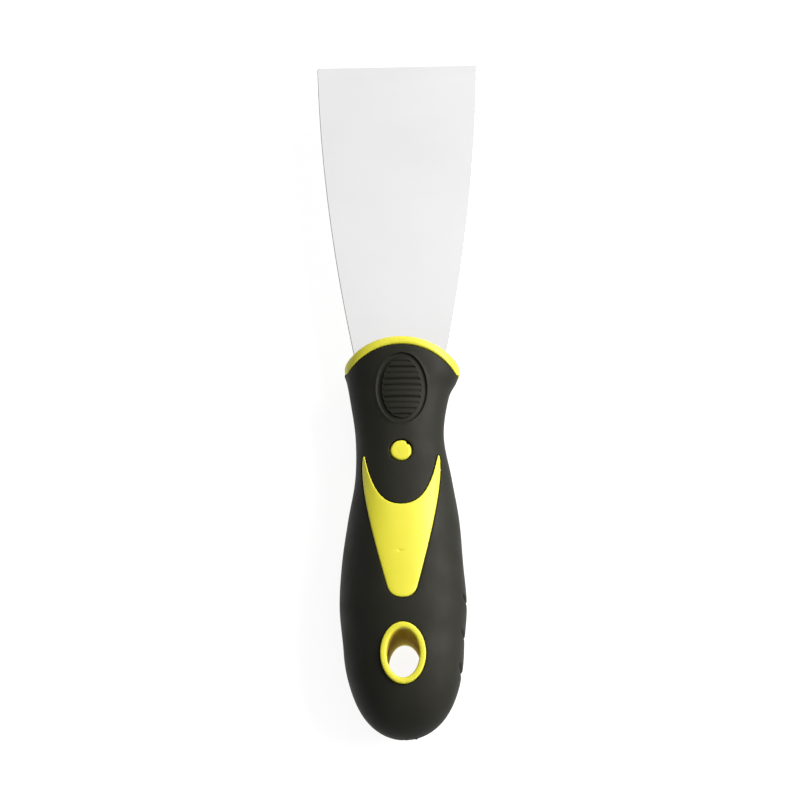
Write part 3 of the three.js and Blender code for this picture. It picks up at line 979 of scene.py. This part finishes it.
def bore_painted_shade(tree):
    """Painted shade on the wall of the hang hole, standing in for the shade deep in the bore: 1 deep inside
    it and 0 at its rims and everywhere else.
    """
    # painted shade: this mask darkens the bore's colour and raises its roughness
    wall, beyond, below_rim, rim = 1.04, 1.1, 0.0108, 0.0128
    coordinates = tree.nodes.new("ShaderNodeTexCoord")
    split = tree.nodes.new("ShaderNodeSeparateXYZ")
    tree.links.new(coordinates.outputs["Object"], split.inputs["Vector"])
    across = math_node(tree, "DIVIDE", split.outputs["X"], RING_INNER[0] * MM)
    along = math_node(tree, "SUBTRACT", split.outputs["Y"], (BUTT_Y + RING_STATION) * MM)
    along = math_node(tree, "DIVIDE", along, RING_INNER[1] * MM)
    away = math_node(tree, "ADD", math_node(tree, "POWER", across, 2), math_node(tree, "POWER", along, 2))
    in_bore = ramp(tree, away, wall, beyond, 1.0, 0.0)
    height = math_node(tree, "ABSOLUTE", math_node(tree, "SUBTRACT", split.outputs["Z"], MID * MM), 0)
    deep = ramp(tree, height, below_rim, rim, 1.0, 0.0)
    return math_node(tree, "MULTIPLY", in_bore, deep)


def plastic_material():
    """Yellow plastic with a slight gloss, and painted shade on the wall of the hang hole, which is made
    rough there too.
    """
    material, tree, shader = new_material("core_plastic", (0.86, 0.76, 0.05), 0.36)
    shader.inputs["Specular IOR Level"].default_value = 0.45
    first_colour, second_colour, mixed_colour = 6, 7, 2  # places among the Mix node's sockets
    cloud = noise(tree, 90, 3)
    deep, light = (0.59, 0.562, 0.028), (0.625, 0.602, 0.04)
    blend = tree.nodes.new("ShaderNodeMix")
    blend.data_type = "RGBA"
    blend.blend_type = "MULTIPLY"
    # painted shade: deep in the bore the colour is multiplied towards brown and the roughness raised to 1
    painted_shade = bore_painted_shade(tree)
    tree.links.new(painted_shade, blend.inputs["Factor"])
    tree.links.new(ramp(tree, cloud, 0.3, 0.7, deep, light), blend.inputs[first_colour])
    # the brown of the painted shade in the bore
    blend.inputs[second_colour].default_value = (0.8, 0.62, 0.36, 1)
    tree.links.new(blend.outputs[mixed_colour], shader.inputs["Base Color"])
    gloss = ramp(tree, cloud, 0.3, 0.7, 0.42, 0.52)
    tree.links.new(math_node(tree, "MAXIMUM", gloss, painted_shade), shader.inputs["Roughness"])
    bump(tree, shader, [(noise(tree, 2600, 2), 0.12, 0.00004), (noise(tree, 260, 2), 0.08, 0.0003)])
    return material


def steel_material():
    """Bright steel with a grain along the blade."""
    material, tree, shader = new_material("blade_steel", (0.9, 0.9, 0.905), 0.3, 1.0)
    cloud = noise(tree, 26, 3)
    grain = noise(tree, 900, 2, (0.03, 1, 1))
    dull, bright = (0.84, 0.84, 0.845), (0.875, 0.875, 0.88)
    tree.links.new(ramp(tree, cloud, 0.35, 0.65, dull, bright), shader.inputs["Base Color"])
    tree.links.new(ramp(tree, grain, 0.3, 0.7, 0.285, 0.31), shader.inputs["Roughness"])
    bump(tree, shader, [(grain, 0.01, 0.00003), (cloud, 0.02, 0.0008)])
    return material


def rivet_material():
    """Duller, speckled steel for the hidden rivets."""
    material, tree, shader = new_material("rivet_steel", (0.62, 0.63, 0.64), 0.38, 1.0)
    speckle = noise(tree, 700, 3)
    dull, bright = (0.56, 0.57, 0.58), (0.68, 0.69, 0.7)
    tree.links.new(ramp(tree, speckle, 0.3, 0.7, dull, bright), shader.inputs["Base Color"])
    bump(tree, shader, [(speckle, 0.1, 0.0001)])
    return material


def floor_material():
    """A white light table."""
    material, tree, shader = new_material("studio_floor", (0.2, 0.2, 0.2), 0.8)
    shader.inputs["Specular IOR Level"].default_value = 0.1
    shader.inputs["Emission Color"].default_value = (1, 1, 1, 1)
    shader.inputs["Emission Strength"].default_value = 0.9
    pale = ramp(tree, noise(tree, 3, 2), 0.3, 0.7, (0.19, 0.19, 0.19), (0.21, 0.21, 0.21))
    tree.links.new(pale, shader.inputs["Base Color"])
    return material


# ---- putting the pieces in place ----


def place(shape, name, material, slot, node, smooth=True):
    """Makes a piece from a shape, gives it its look, ties it to the body and hides its CAD node. The slot is
    not used.
    """
    piece = shape.make(name, smooth)
    piece.data.materials.append(material)
    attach(piece, "root")
    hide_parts(node)
    return piece


rubber, plastic, steel = rubber_material(), plastic_material(), steel_material()
rivet_steel = rivet_material()

place(grip_shape(), "soft_grip", rubber, "grip_rubber", "grip")
front_core = collar_shape().joined(hub_shape(), panel_shape(), ring_shape())
place(front_core, "front_core", plastic, "core_plastic", "core_front")
place(front_core.flipped(), "rear_core", plastic, "core_plastic", "core_rear")
front_plug = plug_shape()
place(front_plug, "front_plug", plastic, "core_plastic", "rivet_plug_front")
place(front_plug.flipped(), "rear_plug", plastic, "core_plastic", "rivet_plug_rear")
place(blade_shape(), "steel_blade", steel, "blade_steel", "blade", smooth=False)
for node in ("tang_rivet_upper", "tang_rivet_lower"):
    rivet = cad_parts[node]
    rivet.data.materials.clear()
    rivet.data.materials.append(rivet_steel)

# ---- floor, lights and camera ----


def make_floor():
    """The light table, kept out of the part itself."""
    half = 1.6
    mesh = bpy.data.meshes.new("floor")
    corners = [(-half, -half, 0), (half, -half, 0), (half, half, 0), (-half, half, 0)]
    mesh.from_pydata(corners, [], [(0, 1, 2, 3)])
    floor = bpy.data.objects.new("floor", mesh)
    bpy.context.scene.collection.objects.link(floor)
    floor.data.materials.append(floor_material())


def make_light(name, spot, target, size, power, colour):
    """A rectangular softbox at a spot, turned to a target. Sizes are in metres and power in watts."""
    data = bpy.data.lights.new(name, "AREA")
    data.shape = "RECTANGLE"
    data.size, data.size_y = size
    data.energy = power
    data.color = colour
    light = bpy.data.objects.new(name, data)
    bpy.context.scene.collection.objects.link(light)
    way = Vector(target) - Vector(spot)
    light.matrix_world = Matrix.Translation(spot) @ way.to_track_quat("-Z", "Y").to_matrix().to_4x4()


def make_world():
    """A pale surround: dim on the left, bright on the right and ahead, and white at the horizon."""
    world = bpy.data.worlds.new("studio")
    bpy.context.scene.world = world
    world.use_nodes = True
    tree = world.node_tree
    background = tree.nodes["Background"]
    background.inputs["Color"].default_value = (1, 1, 1, 1)
    direction = tree.nodes.new("ShaderNodeTexCoord")
    split = tree.nodes.new("ShaderNodeSeparateXYZ")
    tree.links.new(direction.outputs["Generated"], split.inputs["Vector"])
    rightward = ramp(tree, split.outputs["X"], -0.3, 1.0, 0.09, 0.8)
    rightward.node.interpolation_type = "SMOOTHSTEP"
    ahead = ramp(tree, split.outputs["Y"], 0.45, 0.75, 0.09, 0.45)
    horizon = ramp(tree, split.outputs["Z"], 0.11, 0.24, 1.0, 0.0)
    strength = math_node(tree, "MAXIMUM", math_node(tree, "MAXIMUM", rightward, ahead), horizon)
    tree.links.new(strength, background.inputs["Strength"])


def make_camera():
    """A long lens, looking down from above the butt and turned a little."""
    data = bpy.data.cameras.new("camera")
    data.sensor_width = 36
    data.lens = 112.4
    camera = bpy.data.objects.new("camera", data)
    bpy.context.scene.collection.objects.link(camera)
    tilt, side, roll = math.radians(17), math.radians(1.2), math.radians(-0.66)
    distance = 0.75
    target = Vector((-0.0003, -0.0032, MID * MM))
    back = Vector((math.sin(side) * math.cos(tilt), -math.sin(tilt), math.cos(tilt) * math.cos(side)))
    back.normalize()
    right = Vector((0, 1, 0)).cross(back).normalized()
    axes = Matrix((right, back.cross(right), back)).transposed().to_4x4()
    spot = Matrix.Translation(target + back * distance)
    camera.matrix_world = spot @ axes @ Matrix.Rotation(roll, 4, "Z")
    bpy.context.scene.camera = camera


make_floor()
make_world()
centre = (0, 0, 0.01)
make_light("overhead_softbox", (-0.04, 0.74, 1.55), centre, (1.3, 1.4), 4.3, (1, 1, 1))
make_light("right_softbox", (0.86, 0.28, 0.76), centre, (1.2, 0.6), 27.5, (1, 0.945, 0.905))
make_camera()
bpy.context.scene.view_settings.view_transform = "Standard"
